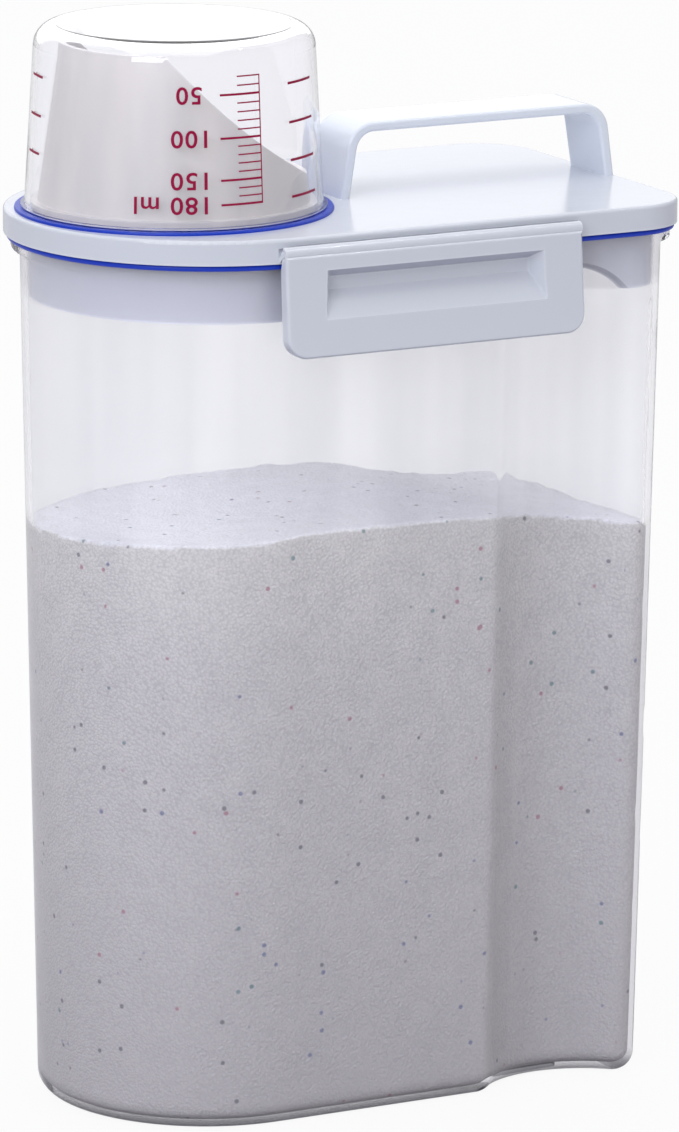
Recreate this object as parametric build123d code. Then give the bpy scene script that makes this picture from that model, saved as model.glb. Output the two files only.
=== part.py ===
from build123d import *
import math
import os

# Dispenser for washing powder: a tall see-through container with a gripped end, a latched lid that
# carries a strap handle and a pouring spout, and a measuring cup turned over the spout as its cap.
# Millimetres, +Z up. The origin is the middle of the footprint, on the surface it stands on.
# +X points to the handle end, and -Y is the front.

# Plan of the lid: a half round at the spout end, a blunt end at the handle.
LID_LENGTH = 177.4
LID_WIDTH = 110.0
LID_CORNER = 17.5
LID_EDGE_ROUND = 1.0

# Heights of the stack, from the table up.
BODY_HEIGHT = 238.2
SEAL_SHOWING = 1.8
SKIRT_HEIGHT = 6.7

# Container.
WALL = 1.9
FLOOR = 2.4
DRAFT = 1.08
WALL_SETBACK = 4.4
BASE_ROUND = 5.5
RIM_SETBACK = 2.0
RIM_HEIGHT = 2.7
RIM_FILLET = 1.5
RIM_EDGE_ROUND = 1.0
FOOT_WIDTH = 17.0
FOOT_HEIGHT = 0.8

# Hand grips: one hollow each side, a leaning cylinder with a round top.
GRIP_FROM_END = 36.7
GRIP_WIDTH = 42.0
GRIP_DEPTH = 10.0
GRIP_DROP = 9.6
GRIP_EDGE_ROUND = 6.0

# Lid shell.
LID_PLATE = 2.2
SKIRT_WALL = 2.2
PLUG_WALL = 1.8
PLUG_DEPTH = 17.0
PLUG_CLEARANCE = 0.4
GRIP_CLEARANCE = 1.2

# Seal: a ring in the channel under the lid, with a slot that makes two lips.
SEAL_SLOT = 1.3
SEAL_SLOT_DEPTH = 3.0

# Latches, one each long side.
LATCH_FROM_ROUND_END = 48.5
LATCH_WIDTH = 90.0
LATCH_HEIGHT = 27.6
LATCH_TOP_STAND = 3.6
LATCH_FLARE = 2.4
LATCH_HOLLOW = 0.4
LATCH_DEPTH = 4.2
LATCH_PLATE = 2.0
LATCH_SIDE = 1.8
LATCH_CORNER = 5.5
LATCH_EDGE_ROUND = 0.8
LATCH_OPENS = 105.0
SKIRT_GAP = 0.5
FACE_BELOW_PIVOT = 0.2

# Latch hinge: a bar on webs along the lid's skirt, and a bead on the latch that snaps over it.
PIVOT_OUT = 1.4
PIVOT_DOWN = 3.9
BAR_RADIUS = 0.95
BORE_CLEARANCE = 0.2
BEAD_RADIUS = 1.9
HINGE_CLEARANCE = 0.35
WEB_COUNT = 5
WEB_WIDTH = 3.0
WEB_THICKNESS = 1.0
WEB_BITE = 0.7
WEB_FALL = 45.0
SNAP_AIM = 45.0
SNAP_MOUTH = 70.0
WEB_SWING = 32.0

# Latch recess on the face and hook behind it.
RECESS_SHIFT = 0.0
RECESS_WIDTH = 65.6
RECESS_HEIGHT = 11.5
RECESS_BELOW_PIVOT = 4.8
RECESS_DEPTH = 4.0
RECESS_FLOOR_HEIGHT = 3.6
RECESS_FLOOR_DROP = 2.4
RECESS_SIDE_SLOPE = 2.6
HOOK_GAP = 0.3
HOOK_BITE = 1.0
HOOK_TIP = 1.1
HOOK_HEIGHT = 12.0
HOOK_ROOT = 1.2
RIM_GAP = 0.6

# Handle, from close behind the seal ring to the lid's blunt end.
HANDLE_TO_RING = 2.7
HANDLE_END_SETBACK = 1.2
HANDLE_HEIGHT = 20.6
HANDLE_WIDTH = 20.0
HANDLE_STRAP = 2.7
HANDLE_LEAN = 8.0
HANDLE_ROUND = 8.0
HANDLE_EDGE_ROUND = 0.9
HANDLE_FOOT = 1.2

# Spout, with its seat in the lid.
SPOUT_BASE_RADIUS = 36.7
SPOUT_WALL = 1.8
SPOUT_TAPER = 8.0
SPOUT_TO_CUP = 3.0
FLANGE_HEIGHT = 2.1
FLANGE_CLEARANCE = 0.4
NECK_SETBACK = 2.4
NECK_WALL = 1.7
NECK_DEPTH = 3.5
NECK_CLEARANCE = 0.2
BARB = 0.8
SCOOP_LIP_END = -16.0
SCOOP_MIDDLE = 8.0
SCOOP_MIDDLE_SHARE = 0.45
SCOOP_FOOT = 30.0
SCOOP_FOOT_HEIGHT = 7.0

# Measuring cup, mouth down over the spout.
CUP_HEIGHT = 49.5
CUP_TO_SPOUT = 2.2
CUP_TAPER = 2.8
CUP_WALL = 1.5
CUP_ROUND = 6.0
CUP_LIP = 1.0
CUP_LIP_HEIGHT = 0.8

# Ring that seals the cup to the lid, near the lid's round end.
RING_LEDGE = 2.7
RING_FROM_END = 2.0
RING_THICKNESS = 1.5
RING_SUNK = 0.7
RING_EDGE_ROUND = 0.5

# Washing powder.
POWDER_LEVEL = 162.0
POWDER_GAP = 0.15
POWDER_TILT = 2.0
POWDER_HEAPS = [(-1.1, 0.8), (-0.5, -0.2), (-0.1, 1.2), (0.35, -0.6), (0.7, -4.2), (1.1, -8.5)]

# Worked out from the sizes above.
half_width = LID_WIDTH / 2
half_length = LID_LENGTH / 2
round_end_x = half_width - half_length
draft_slope = math.tan(math.radians(DRAFT))
rim_under = BODY_HEIGHT - RIM_HEIGHT
lid_under = BODY_HEIGHT + SEAL_SHOWING
lid_top = lid_under + SKIRT_HEIGHT
plate_under = lid_top - LID_PLATE
plug_setback = WALL_SETBACK + WALL + PLUG_CLEARANCE
grip_x = half_length - GRIP_FROM_END
pivot_y = -half_width - PIVOT_OUT
pivot_z = lid_top - PIVOT_DOWN
latch_start = LATCH_FROM_ROUND_END - half_length
latch_top = pivot_z - FACE_BELOW_PIVOT
latch_bottom = latch_top - LATCH_HEIGHT
recess_x = latch_start + LATCH_WIDTH / 2 + RECESS_SHIFT
recess_top = pivot_z - RECESS_BELOW_PIVOT
neck_radius = SPOUT_BASE_RADIUS - NECK_SETBACK
cup_mouth_radius = SPOUT_BASE_RADIUS + CUP_TO_SPOUT + CUP_WALL
cup_base_radius = cup_mouth_radius - CUP_TAPER
ring_radius = cup_mouth_radius + RING_LEDGE
spout_x = ring_radius + RING_FROM_END - half_length
handle_start = spout_x + ring_radius + HANDLE_TO_RING
ring_seat = lid_top - RING_SUNK
ring_top = ring_seat + RING_THICKNESS
cup_top = ring_top + CUP_HEIGHT
flange_top = ring_top + FLANGE_HEIGHT
spout_top = cup_top - CUP_WALL - SPOUT_TO_CUP


def plan(setback):
    """The lid's outline, drawn in by a setback."""
    side = half_width - setback
    end = half_length - setback
    corner = max(LID_CORNER - setback, 1.0)
    return make_face([
        CenterArc((round_end_x, 0), side, 90, 180),
        Line((round_end_x, -side), (end - corner, -side)),
        CenterArc((end - corner, corner - side), corner, -90, 90),
        Line((end, corner - side), (end, side - corner)),
        CenterArc((end - corner, side - corner), corner, 0, 90),
        Line((end - corner, side), (round_end_x, side)),
    ])


def slab(setback, bottom, top):
    """A straight-sided prism on the plan."""
    return extrude(Pos(0, 0, bottom) * plan(setback), top - bottom)


def drafted(setback, bottom, top):
    """A prism that narrows downwards; the setback is met at the rim's height."""
    at_top = setback + (BODY_HEIGHT - top) * draft_slope
    return extrude(Pos(0, 0, top) * plan(at_top), top - bottom, dir=(0, 0, -1), taper=DRAFT)


def grip_cutter(side, growth):
    """What hollows one side for the hand; growth thickens it for the faces inside the wall."""
    half = GRIP_WIDTH / 2
    radius = (half ** 2 + GRIP_DEPTH ** 2) / (2 * GRIP_DEPTH)
    centre_z = BODY_HEIGHT - GRIP_DROP - half
    wall_y = half_width - WALL_SETBACK - (BODY_HEIGHT - centre_z) * draft_slope
    length = centre_z + half
    bar = Pos(0, 0, -length / 2) * Cylinder(radius + growth, length) + Sphere(radius + growth)
    place = Pos(grip_x, side * (wall_y + radius - GRIP_DEPTH), centre_z)
    return place * Rot(X=-side * DRAFT) * bar


def grip_edges(solid):
    """The edges where the grip hollows meet the walls, above the base."""
    reach = GRIP_WIDTH / 2 + GRIP_EDGE_ROUND
    found = []
    for edge in solid.edges():
        box = edge.bounding_box()
        near = abs(box.min.X - grip_x) < reach and abs(box.max.X - grip_x) < reach
        rises = box.size.Z > FLOOR * 2 and box.max.Z < rim_under
        if near and rises and edge.geom_type != GeomType.BEZIER:
            found.append(edge)
    return found


def gripped_block(growth, bottom, edge_round, base_round):
    """The container's outer or inner form as one solid."""
    block = drafted(WALL_SETBACK + growth, bottom, BODY_HEIGHT)
    for side in (-1, 1):
        block -= grip_cutter(side, growth)
    block = fillet(grip_edges(block), edge_round)
    return fillet(block.faces().sort_by(Axis.Z)[0].edges(), min(base_round, edge_round - 0.5))


def make_cavity(gap=0.0):
    """The space inside the container, or what lies in it a gap inside its walls."""
    growth = WALL + gap
    return gripped_block(growth, FLOOR + gap, GRIP_EDGE_ROUND - growth, BASE_ROUND - growth)


def make_container():
    """A thin shell with a rolled rim, a hollow on each side and a foot ring underneath."""
    flange = slab(RIM_SETBACK, rim_under, BODY_HEIGHT)
    flange = fillet(flange.faces().sort_by(Axis.Z)[0].edges(), RIM_EDGE_ROUND)
    shell = gripped_block(0, 0, GRIP_EDGE_ROUND, BASE_ROUND) + flange
    level = shell.faces().filter_by(Axis.Z).filter_by_position(Axis.Z, rim_under - 0.01, rim_under + 0.01)
    shell = fillet(level[0].inner_wires()[0].edges(), RIM_FILLET)
    recess = slab(WALL_SETBACK + BASE_ROUND + FOOT_WIDTH, 0, FOOT_HEIGHT)
    return shell - make_cavity() - recess


def make_powder():
    """The fill: the inside of the container up to a surface that rolls along X and tilts along Y."""
    heaps = [(half_length * share, 0, rise) for share, rise in POWDER_HEAPS]
    surface = Spline(*heaps)
    over = Polyline(heaps[-1], (heaps[-1][0], 0, BODY_HEIGHT), (heaps[0][0], 0, BODY_HEIGHT), heaps[0])
    above = extrude(make_face([surface, *over.edges()]), LID_WIDTH, dir=(0, 1, 0), both=True)
    return make_cavity(POWDER_GAP) - Pos(0, 0, POWDER_LEVEL) * Rot(X=-POWDER_TILT) * above


def along_x(face, start, length):
    """A section drawn in the Y-Z plane, drawn out along X."""
    return extrude(Pos(start, 0, 0) * face, length, dir=(1, 0, 0))


def section(*points):
    """A closed polygon in the Y-Z plane, from (y, z) points."""
    return make_face(Polyline(*[(0, y, z) for y, z in points], close=True))


def rod(radius, start, length):
    """A round bar along X on the front latch's pivot."""
    bar = Cylinder(radius, length, rotation=(0, 90, 0))
    return Pos(start + length / 2, pivot_y, pivot_z) * bar


def web_places():
    """The X of each web's near side."""
    step = (LATCH_WIDTH - WEB_WIDTH) / (WEB_COUNT - 1)
    return [latch_start + i * step for i in range(WEB_COUNT)]


def make_front_rail():
    """The bar that the front latch snaps over, on webs that fall to the skirt out of sight."""
    bar = rod(BAR_RADIUS, latch_start, LATCH_WIDTH)
    depth = (PIVOT_OUT + WEB_BITE) / math.cos(math.radians(WEB_FALL))
    for x in web_places():
        web = Box(WEB_WIDTH, depth, WEB_THICKNESS, align=(Align.MIN, Align.MIN, Align.CENTER))
        bar += Pos(x, pivot_y, pivot_z) * Rot(X=-WEB_FALL) * web
    return bar


def front_groove():
    """The clearance that the latch's bead turns in."""
    length = LATCH_WIDTH + 2 * HINGE_CLEARANCE
    return rod(BEAD_RADIUS + HINGE_CLEARANCE, latch_start - HINGE_CLEARANCE, length)


def make_lid():
    """A shallow tray turned over, with a plug that fits the mouth and a channel for the seal."""
    shell = slab(0, lid_under, lid_top)
    shell = fillet(shell.faces().sort_by(Axis.Z)[-1].edges(), LID_EDGE_ROUND)
    shell -= slab(SKIRT_WALL, lid_under, plate_under)
    plug_bottom = lid_under - PLUG_DEPTH
    plug = drafted(plug_setback, plug_bottom, plate_under)
    plug -= drafted(plug_setback + PLUG_WALL, plug_bottom, plate_under)
    for side in (-1, 1):
        plug -= grip_cutter(side, WALL + PLUG_CLEARANCE + GRIP_CLEARANCE)
    shell += plug
    shell -= disc(ring_radius, ring_seat, lid_top)
    shell -= disc(neck_radius + NECK_CLEARANCE, plate_under, lid_top)
    shell = shell - front_groove() - mirror(front_groove(), Plane.XZ)
    shell = shell + make_front_rail() + mirror(make_front_rail(), Plane.XZ)
    return shell - handle_feet()


def make_seal():
    """The ring that the rim presses on, with a slot up its middle."""
    ring = slab(SKIRT_WALL, BODY_HEIGHT, plate_under)
    ring -= drafted(plug_setback, BODY_HEIGHT, plate_under)
    middle = (SKIRT_WALL + plug_setback) / 2
    slot = slab(middle - SEAL_SLOT / 2, BODY_HEIGHT, BODY_HEIGHT + SEAL_SLOT_DEPTH)
    slot -= slab(middle + SEAL_SLOT / 2, BODY_HEIGHT, BODY_HEIGHT + SEAL_SLOT_DEPTH)
    return ring - slot


def arch(offset, foot):
    """The handle's side outline drawn in by an offset, down to a foot height."""
    lean = math.tan(math.radians(HANDLE_LEAN))
    start = handle_start + offset
    end = half_length - HANDLE_END_SETBACK - offset
    top = HANDLE_HEIGHT - offset
    rise = lean * HANDLE_HEIGHT
    low = lean * foot
    points = [(start + low, foot), (start + rise, top), (end - rise, top), (end - low, foot)]
    face = make_face(Polyline(*[(x, 0, lid_top + z) for x, z in points], close=True))
    return fillet(face.vertices().group_by(Axis.Z)[-1], HANDLE_ROUND - offset)


def make_handle():
    """A flat strap bent into an arch, with its feet let into the lid."""
    outer = extrude(arch(0, -HANDLE_FOOT), HANDLE_WIDTH / 2, dir=(0, 1, 0), both=True)
    inner = extrude(arch(HANDLE_STRAP, -HANDLE_FOOT), HANDLE_WIDTH, dir=(0, 1, 0), both=True)
    strap = outer - inner
    rims = strap.edges().filter_by(lambda e: abs(abs(e.center().Y) - HANDLE_WIDTH / 2) < 0.01)
    rims = [e for e in rims if e.bounding_box().max.Z > lid_top]
    return fillet(rims, HANDLE_EDGE_ROUND)


def handle_feet():
    """The part of the handle that sits below the lid's top."""
    return make_handle() & slab(0, lid_top - HANDLE_FOOT, lid_top)


def turned(points):
    """A solid of revolution on the spout's axis, from (radius, z) points."""
    face = make_face(Polyline(*[(r, 0, z) for r, z in points], close=True))
    return Pos(spout_x, 0, 0) * revolve(face, Axis.Z)


def disc(radius, bottom, top):
    """A round plug on the spout's axis."""
    return turned([(0, bottom), (radius, bottom), (radius, top), (0, top)])


def make_spout():
    """A tapered scoop on a flange, with a barbed neck that snaps into the lid."""
    rise = spout_top - flange_top
    shrink = math.tan(math.radians(SPOUT_TAPER)) * rise
    neck_foot = plate_under - NECK_DEPTH
    bore = neck_radius - NECK_WALL
    inner = SPOUT_BASE_RADIUS - SPOUT_WALL
    flange = cup_mouth_radius - CUP_WALL - FLANGE_CLEARANCE
    body = turned([
        (bore, neck_foot), (neck_radius, neck_foot), (neck_radius + BARB, plate_under - BARB),
        (neck_radius + BARB, plate_under), (neck_radius, plate_under), (neck_radius, ring_top),
        (flange, ring_top), (flange, flange_top), (SPOUT_BASE_RADIUS, flange_top),
        (SPOUT_BASE_RADIUS - shrink, spout_top), (inner - shrink, spout_top),
        (inner, flange_top), (bore, ring_top),
    ])
    return body - scoop_cut()


def scoop_cut():
    """The slanting mouth: level at the tall side, then a hollow slope down to a low lip."""
    rise = spout_top - flange_top
    start = (spout_x + SCOOP_LIP_END, 0, spout_top)
    middle = (spout_x + SCOOP_MIDDLE, 0, flange_top + SCOOP_MIDDLE_SHARE * rise)
    foot = (spout_x + SCOOP_FOOT, 0, flange_top + SCOOP_FOOT_HEIGHT)
    far_x = spout_x + 2 * SPOUT_BASE_RADIUS
    slope = ThreePointArc(start, middle, foot)
    rest = Polyline(foot, (far_x, 0, foot[2]), (far_x, 0, cup_top), (start[0], 0, cup_top), start)
    return extrude(make_face([slope, *rest.edges()]), 2 * SPOUT_BASE_RADIUS, dir=(0, 1, 0), both=True)


def make_ring():
    """A flat washer under the spout's flange and the cup's lip."""
    ring = disc(ring_radius, ring_seat, ring_top) - disc(neck_radius, ring_seat, ring_top)
    outer = ring.edges().group_by(Axis.Z)[-1].sort_by(SortBy.LENGTH)[-1]
    return fillet(outer, RING_EDGE_ROUND)


def make_cup():
    """A clear tapered cup, mouth down, with a thin lip round its mouth."""
    inner_top = cup_top - CUP_WALL
    mouth_bore = cup_mouth_radius - CUP_WALL
    base_bore = cup_base_radius - CUP_WALL
    outer = turned([(0, ring_top), (cup_mouth_radius, ring_top), (cup_base_radius, cup_top), (0, cup_top)])
    outer = fillet(outer.edges().group_by(Axis.Z)[-1], CUP_ROUND)
    inner = turned([(0, ring_top), (mouth_bore, ring_top), (base_bore, inner_top), (0, inner_top)])
    inner = fillet(inner.edges().group_by(Axis.Z)[-1], CUP_ROUND - CUP_WALL)
    lip = disc(cup_mouth_radius + CUP_LIP, ring_top, ring_top + CUP_LIP_HEIGHT)
    return outer + lip - inner


def face_curve(shift):
    """The latch's gently hollow face in section, moved back by a shift."""
    top_y = -half_width - LATCH_TOP_STAND + shift
    bottom_y = top_y - LATCH_FLARE
    middle = ((top_y + bottom_y) / 2 + LATCH_HOLLOW, (latch_top + latch_bottom) / 2)
    points = [(top_y, latch_top), middle, (bottom_y, latch_bottom)]
    return ThreePointArc(*[(0, y, z) for y, z in points])


def flap_section():
    """The flap in section: its face in front, and behind it a back that clears the lid's skirt."""
    face = face_curve(0)
    foot_y = (face @ 1).Y + LATCH_DEPTH
    back_y = -half_width - SKIRT_GAP
    cap_z = pivot_z - BEAD_RADIUS / 2
    corners = [(foot_y, latch_bottom), (back_y, rim_under), (back_y, cap_z), (pivot_y, cap_z)]
    back = Polyline(face @ 1, *[(0, y, z) for y, z in corners], face @ 0)
    return make_face([face, *back.edges()])


def latch_flap():
    """The flap's outer form, hollowed from behind."""
    flap = along_x(flap_section(), latch_start, LATCH_WIDTH)
    flap = fillet(low_corners(flap, latch_bottom), LATCH_CORNER)
    face = flap.faces().sort_by(Axis.Y)[0]
    flap = fillet(face.edges(), LATCH_EDGE_ROUND)
    floor = latch_bottom + LATCH_PLATE
    pocket = along_x(pocket_section(), latch_start + LATCH_SIDE, LATCH_WIDTH - 2 * LATCH_SIDE)
    pocket = fillet(low_corners(pocket, floor), LATCH_CORNER - LATCH_SIDE)
    return flap - pocket


def low_corners(solid, bottom):
    """The two bottom corner edges of a flap or pocket, seen from the front."""
    return [
        e for e in solid.edges()
        if e.bounding_box().max.Z < bottom + 0.01 and e.bounding_box().size.X < 0.01
    ]


def pocket_section():
    """What is taken out behind the flap, in section."""
    floor = latch_bottom + LATCH_PLATE
    top = lid_under - SKIRT_GAP
    front = face_curve(LATCH_PLATE)
    low_y = (front @ 1).Y
    high_y = (front @ 0).Y
    return section((low_y, floor), (0, floor), (0, top), (high_y, top))


def hook_block():
    """The solid behind the recess, whose top edge bites under the container's rim."""
    rim_y = -half_width + RIM_SETBACK
    hook_top = rim_under - HOOK_GAP
    tip_y = rim_y + HOOK_BITE
    root_y = -half_width - LATCH_TOP_STAND + LATCH_PLATE / 2
    top_z = recess_top + LATCH_PLATE
    block = section(
        (root_y, top_z), (root_y + HOOK_ROOT, top_z), (rim_y - RIM_GAP, hook_top), (tip_y, hook_top),
        (tip_y, hook_top - HOOK_TIP), (root_y - LATCH_FLARE / 2, hook_top - HOOK_HEIGHT))
    return along_x(block, recess_x - RECESS_WIDTH / 2, RECESS_WIDTH)


def recess_cutter():
    """The finger recess: a tray with four sloping sides, let into the face."""
    face_y = -half_width - LATCH_TOP_STAND
    out = LATCH_FLARE * 2
    grow = out / RECESS_DEPTH
    floor_top = recess_top - RECESS_FLOOR_DROP
    middle = recess_top - RECESS_HEIGHT / 2
    floor_mid = floor_top - RECESS_FLOOR_HEIGHT / 2
    far_width = RECESS_WIDTH + 2 * RECESS_SIDE_SLOPE * grow
    far_height = RECESS_HEIGHT + (RECESS_HEIGHT - RECESS_FLOOR_HEIGHT) * grow
    far_mid = middle + (middle - floor_mid) * grow
    floor_width = RECESS_WIDTH - 2 * RECESS_SIDE_SLOPE
    outside = Rectangle(far_width, far_height)
    floor = Rectangle(floor_width, RECESS_FLOOR_HEIGHT)
    outside = Pos(recess_x, face_y - out, far_mid) * Rot(X=90) * outside
    floor = Pos(recess_x, face_y + RECESS_DEPTH, floor_mid) * Rot(X=90) * floor
    return loft([outside, floor], ruled=True)


def sector(from_deg, to_deg, radius, start, length):
    """A wedge round the pivot; 0 degrees points in at the lid and 90 degrees points up."""
    steps = 4
    angles = [math.radians(from_deg + (to_deg - from_deg) * i / steps) for i in range(steps + 1)]
    rim = [(pivot_y + radius * math.cos(a), pivot_z + radius * math.sin(a)) for a in angles]
    return along_x(section((pivot_y, pivot_z), *rim), start, length)


def make_front_latch():
    """A hollow-backed flap with a recessed face, a hook behind it and a bead along its top."""
    latch = latch_flap() + hook_block() - recess_cutter()
    latch += rod(BEAD_RADIUS, latch_start, LATCH_WIDTH)
    latch -= rod(BAR_RADIUS + BORE_CLEARANCE, latch_start, LATCH_WIDTH)
    reach = BEAD_RADIUS * 2
    mouth = SNAP_AIM - SNAP_MOUTH / 2
    latch -= sector(mouth, mouth + SNAP_MOUTH, reach, latch_start, LATCH_WIDTH)
    low = -WEB_FALL - WEB_SWING
    high = LATCH_OPENS - WEB_FALL + WEB_SWING
    for x in web_places():
        width = WEB_WIDTH + 2 * HINGE_CLEARANCE
        latch -= sector(low, high, reach, x - HINGE_CLEARANCE, width)
    return latch


if __name__ == "__main__":
    front_latch = make_front_latch()
    pieces = {
        "container": make_container(),
        "washing_powder": make_powder(),
        "lid": make_lid(),
        "lid_gasket": make_seal(),
        "handle": make_handle(),
        "spout": make_spout(),
        "cup_seal_ring": make_ring(),
        "measuring_cup": make_cup(),
        "front_latch": front_latch,
        "rear_latch": mirror(front_latch, Plane.XZ),
    }
    os.makedirs("parts", exist_ok=True)
    for name, piece in pieces.items():
        piece.label = name
        export_step(piece, f"parts/{name}.step")
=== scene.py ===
import math

import bpy
from bpy.props import FloatProperty, FloatVectorProperty, PointerProperty
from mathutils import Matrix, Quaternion, Vector, geometry, noise


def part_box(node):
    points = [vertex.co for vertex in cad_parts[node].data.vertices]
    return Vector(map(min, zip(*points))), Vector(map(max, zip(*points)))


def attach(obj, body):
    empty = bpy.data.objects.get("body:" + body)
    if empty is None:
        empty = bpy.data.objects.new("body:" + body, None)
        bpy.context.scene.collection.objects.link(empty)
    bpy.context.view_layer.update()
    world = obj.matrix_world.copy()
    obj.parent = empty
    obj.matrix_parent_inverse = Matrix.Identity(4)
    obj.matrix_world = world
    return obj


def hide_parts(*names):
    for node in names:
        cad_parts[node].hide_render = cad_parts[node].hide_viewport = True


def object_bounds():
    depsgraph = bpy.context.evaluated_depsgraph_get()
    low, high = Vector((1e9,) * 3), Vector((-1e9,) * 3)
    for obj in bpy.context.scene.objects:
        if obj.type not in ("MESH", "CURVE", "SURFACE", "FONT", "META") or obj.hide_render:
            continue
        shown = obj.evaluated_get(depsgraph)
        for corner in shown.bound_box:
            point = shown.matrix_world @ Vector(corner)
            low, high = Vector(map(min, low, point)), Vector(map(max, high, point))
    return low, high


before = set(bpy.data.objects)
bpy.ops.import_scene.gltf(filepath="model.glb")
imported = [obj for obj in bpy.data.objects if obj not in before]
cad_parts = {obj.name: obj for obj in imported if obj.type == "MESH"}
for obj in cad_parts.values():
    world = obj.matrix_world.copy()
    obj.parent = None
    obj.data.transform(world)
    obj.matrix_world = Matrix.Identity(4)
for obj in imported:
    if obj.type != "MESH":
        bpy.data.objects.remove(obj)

bl_info = {
    "name": "Powder dispenser finish",
    "version": (1, 0, 0),
    "blender": (4, 5, 0),
    "location": "3D View > Sidebar > Dispenser",
    "description": "Dresses the packed powder dispenser: clear tub, powder, white mouldings, seals and cup",
    "category": "Object",
}

# Metres, +Z up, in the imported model's own frame. +X points to the handle end, and -Y is the front.
MM = 0.001
MILLILITRE = 1e-6
CAD_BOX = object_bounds()

# How strongly each plastic bends light.
POLYPROPYLENE_INDEX = 1.49
SILICONE_INDEX = 1.43

# The colour of the lamps' light once it has passed one surface of the clear plastics.
TUB_PASSES = (0.93, 0.93, 0.95, 1.0)
CUP_PASSES = (0.95, 0.95, 0.97, 1.0)


def shade(red, green, blue):
    """A colour as Blender takes it, from the 0 to 255 numbers that a screen shows."""
    screen = (red / 255, green / 255, blue / 255)
    return tuple(c / 12.92 if c <= 0.04045 else ((c + 0.055) / 1.055) ** 2.4 for c in screen)


def length(name, description, millimetres):
    """A length that a user can change."""
    return FloatProperty(
        name=name, description=description, default=millimetres * MM,
        subtype="DISTANCE", unit="LENGTH", precision=5)


def share(name, description, value):
    """A share from 0 to 1 that a user can change."""
    return FloatProperty(
        name=name, description=description, default=value, min=0.0, max=1.0, subtype="FACTOR")


def plain(name, description, value):
    """A plain number that a user can change."""
    return FloatProperty(name=name, description=description, default=value, min=0.0)


def spot(name, description, *metres):
    """A place that a user can change."""
    return FloatVectorProperty(
        name=name, description=description, default=metres, size=3,
        subtype="TRANSLATION", unit="LENGTH")


def turn(name, description, degrees):
    """An angle that a user can change."""
    return FloatProperty(
        name=name, description=description, default=math.radians(degrees),
        subtype="ANGLE", unit="ROTATION")


def colour(name, description, *screen):
    """A colour that a user can change."""
    return FloatVectorProperty(
        name=name, description=description, default=shade(*screen),
        subtype="COLOR", size=3, min=0.0, max=1.0)


class StageLook(bpy.types.PropertyGroup):
    """The camera, the floor and the soft light."""
    camera_place: spot("Camera place", "Where the camera stands", -1.00868, -1.88924, 0.63102)
    camera_azimuth: turn("Camera azimuth", "Which way it looks, from +Y towards +X", 28.277)
    camera_pitch: turn("Camera pitch", "How far it looks down", 12.831)
    camera_roll: turn("Camera roll", "How far it leans to its left", 0.34)
    lens: plain("Lens", "Focal length in millimetres on a 36 mm sensor", 254.417)
    sight: length("Sight", "How far the camera sees", 20000)
    floor_half: length("Floor half width", "Half the floor's width", 3000)
    floor_colour: colour("Floor colour", "The floor's own colour", 216, 216, 219)
    floor_roughness: share("Floor roughness", "How soft the floor's reflections are", 0.7)
    floor_glow: share("Floor glow", "How far the floor shows as the white background", 0.93)
    room_colour: colour("Room light", "Colour of the light from all round", 243, 243, 247)
    room_strength: plain("Room strength", "How bright the light from all round is", 0.47)
    top_place: spot("Top place", "Where the lamp overhead is", -0.2, -0.3, 2.4)
    top_size: length("Top size", "Width of the lamp overhead", 2200)
    top_power: plain("Top power", "Power of the lamp overhead", 23.0)
    back_place: spot("Back place", "Where the lamp behind is", 0.5, 1.7, 1.4)
    back_size: length("Back size", "Width of the lamp behind", 2600)
    back_power: plain("Back power", "Power of the low lamp behind, which lights the powder's top", 17.0)
    glint_place: spot("Glint place", "Where the small lamp is", 1.0, -0.6, 2.1)
    glint_size: length("Glint size", "Width of the small lamp", 80)
    glint_power: plain("Glint power", "Power of the small high lamp that makes the glints", 2.0)
    side_place: spot("Side place", "Where the lamp on the left is", -1.2, -1.0, 1.0)
    side_size: length("Side size", "Width of the lamp on the left", 800)
    side_power: plain("Side power", "Power of the cool lamp on the left", 8.5)
    side_colour: colour("Side colour", "Colour of the lamp on the left", 240, 242, 253)


class TubLook(bpy.types.PropertyGroup):
    """The clear container."""
    tint: colour("Tint", "What the wall does to light that passes", 251, 251, 253)
    band_tint: colour("Band tint", "The same in its faint upright bands", 242, 242, 245)
    band: length("Bands", "Spacing of the faint upright bands", 20)
    band_drift: share("Band drift", "How far the bands vary upwards, as a share of across", 0.05)
    body: share("Clearness", "Share of the light that passes rather than scatters", 0.9)
    roughness: share("Roughness", "How much the wall blurs", 0.07)
    ripple: length("Ripple", "Width of the faint waves in the skin", 30)
    ripple_depth: length("Ripple depth", "Depth of the faint waves in the skin", 0.06)
    patchiness: share("Patchiness", "How far its blur varies from place to place", 0.03)
    dust: share("Dust", "How much fine dust is on it", 0.06)
    mote: length("Mote", "Size of the dust's motes", 1.6)
    dust_tone: colour("Dust tone", "The dust's colour", 222, 222, 226)
    index: plain("Index", "How far it bends light: less than the plastic, so that little is trapped", 1.035)
    # Painted shade: the wall beside the lid's plug is tinted grey for the shade under the lid, on top of what
    # its thicker wall does.
    rim_tint: colour("Rim tint", "What the thicker wall beside the lid's plug does to light", 229, 228, 232)
    rim_fade: length("Rim fade", "Height over which the rim tint fades", 1)
    # The fill tint makes the wall greyer below the powder's top.
    fill_tint: colour("Fill tint", "What the wall beside the powder does, with dust inside", 233, 232, 237)
    fill_fade: length("Fill fade", "Height over which the fill tint fades", 35)
    # Painted shadow: the thick foot is tinted darker than its plastic would make it, for the contact shadow
    # along the base.
    foot_tint: colour("Foot tint", "What the thick foot does to light that passes", 112, 111, 117)
    foot_low: length("Foot's low end", "Height up to which the foot tint is full", 1.5)
    foot: length("Foot", "Height at which the foot tint ends", 5)
    sheen: share("Sheen", "Strength of the gloss on its outside", 0.5)
    sheen_roughness: share("Sheen roughness", "How soft that gloss is", 0.08)


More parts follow.
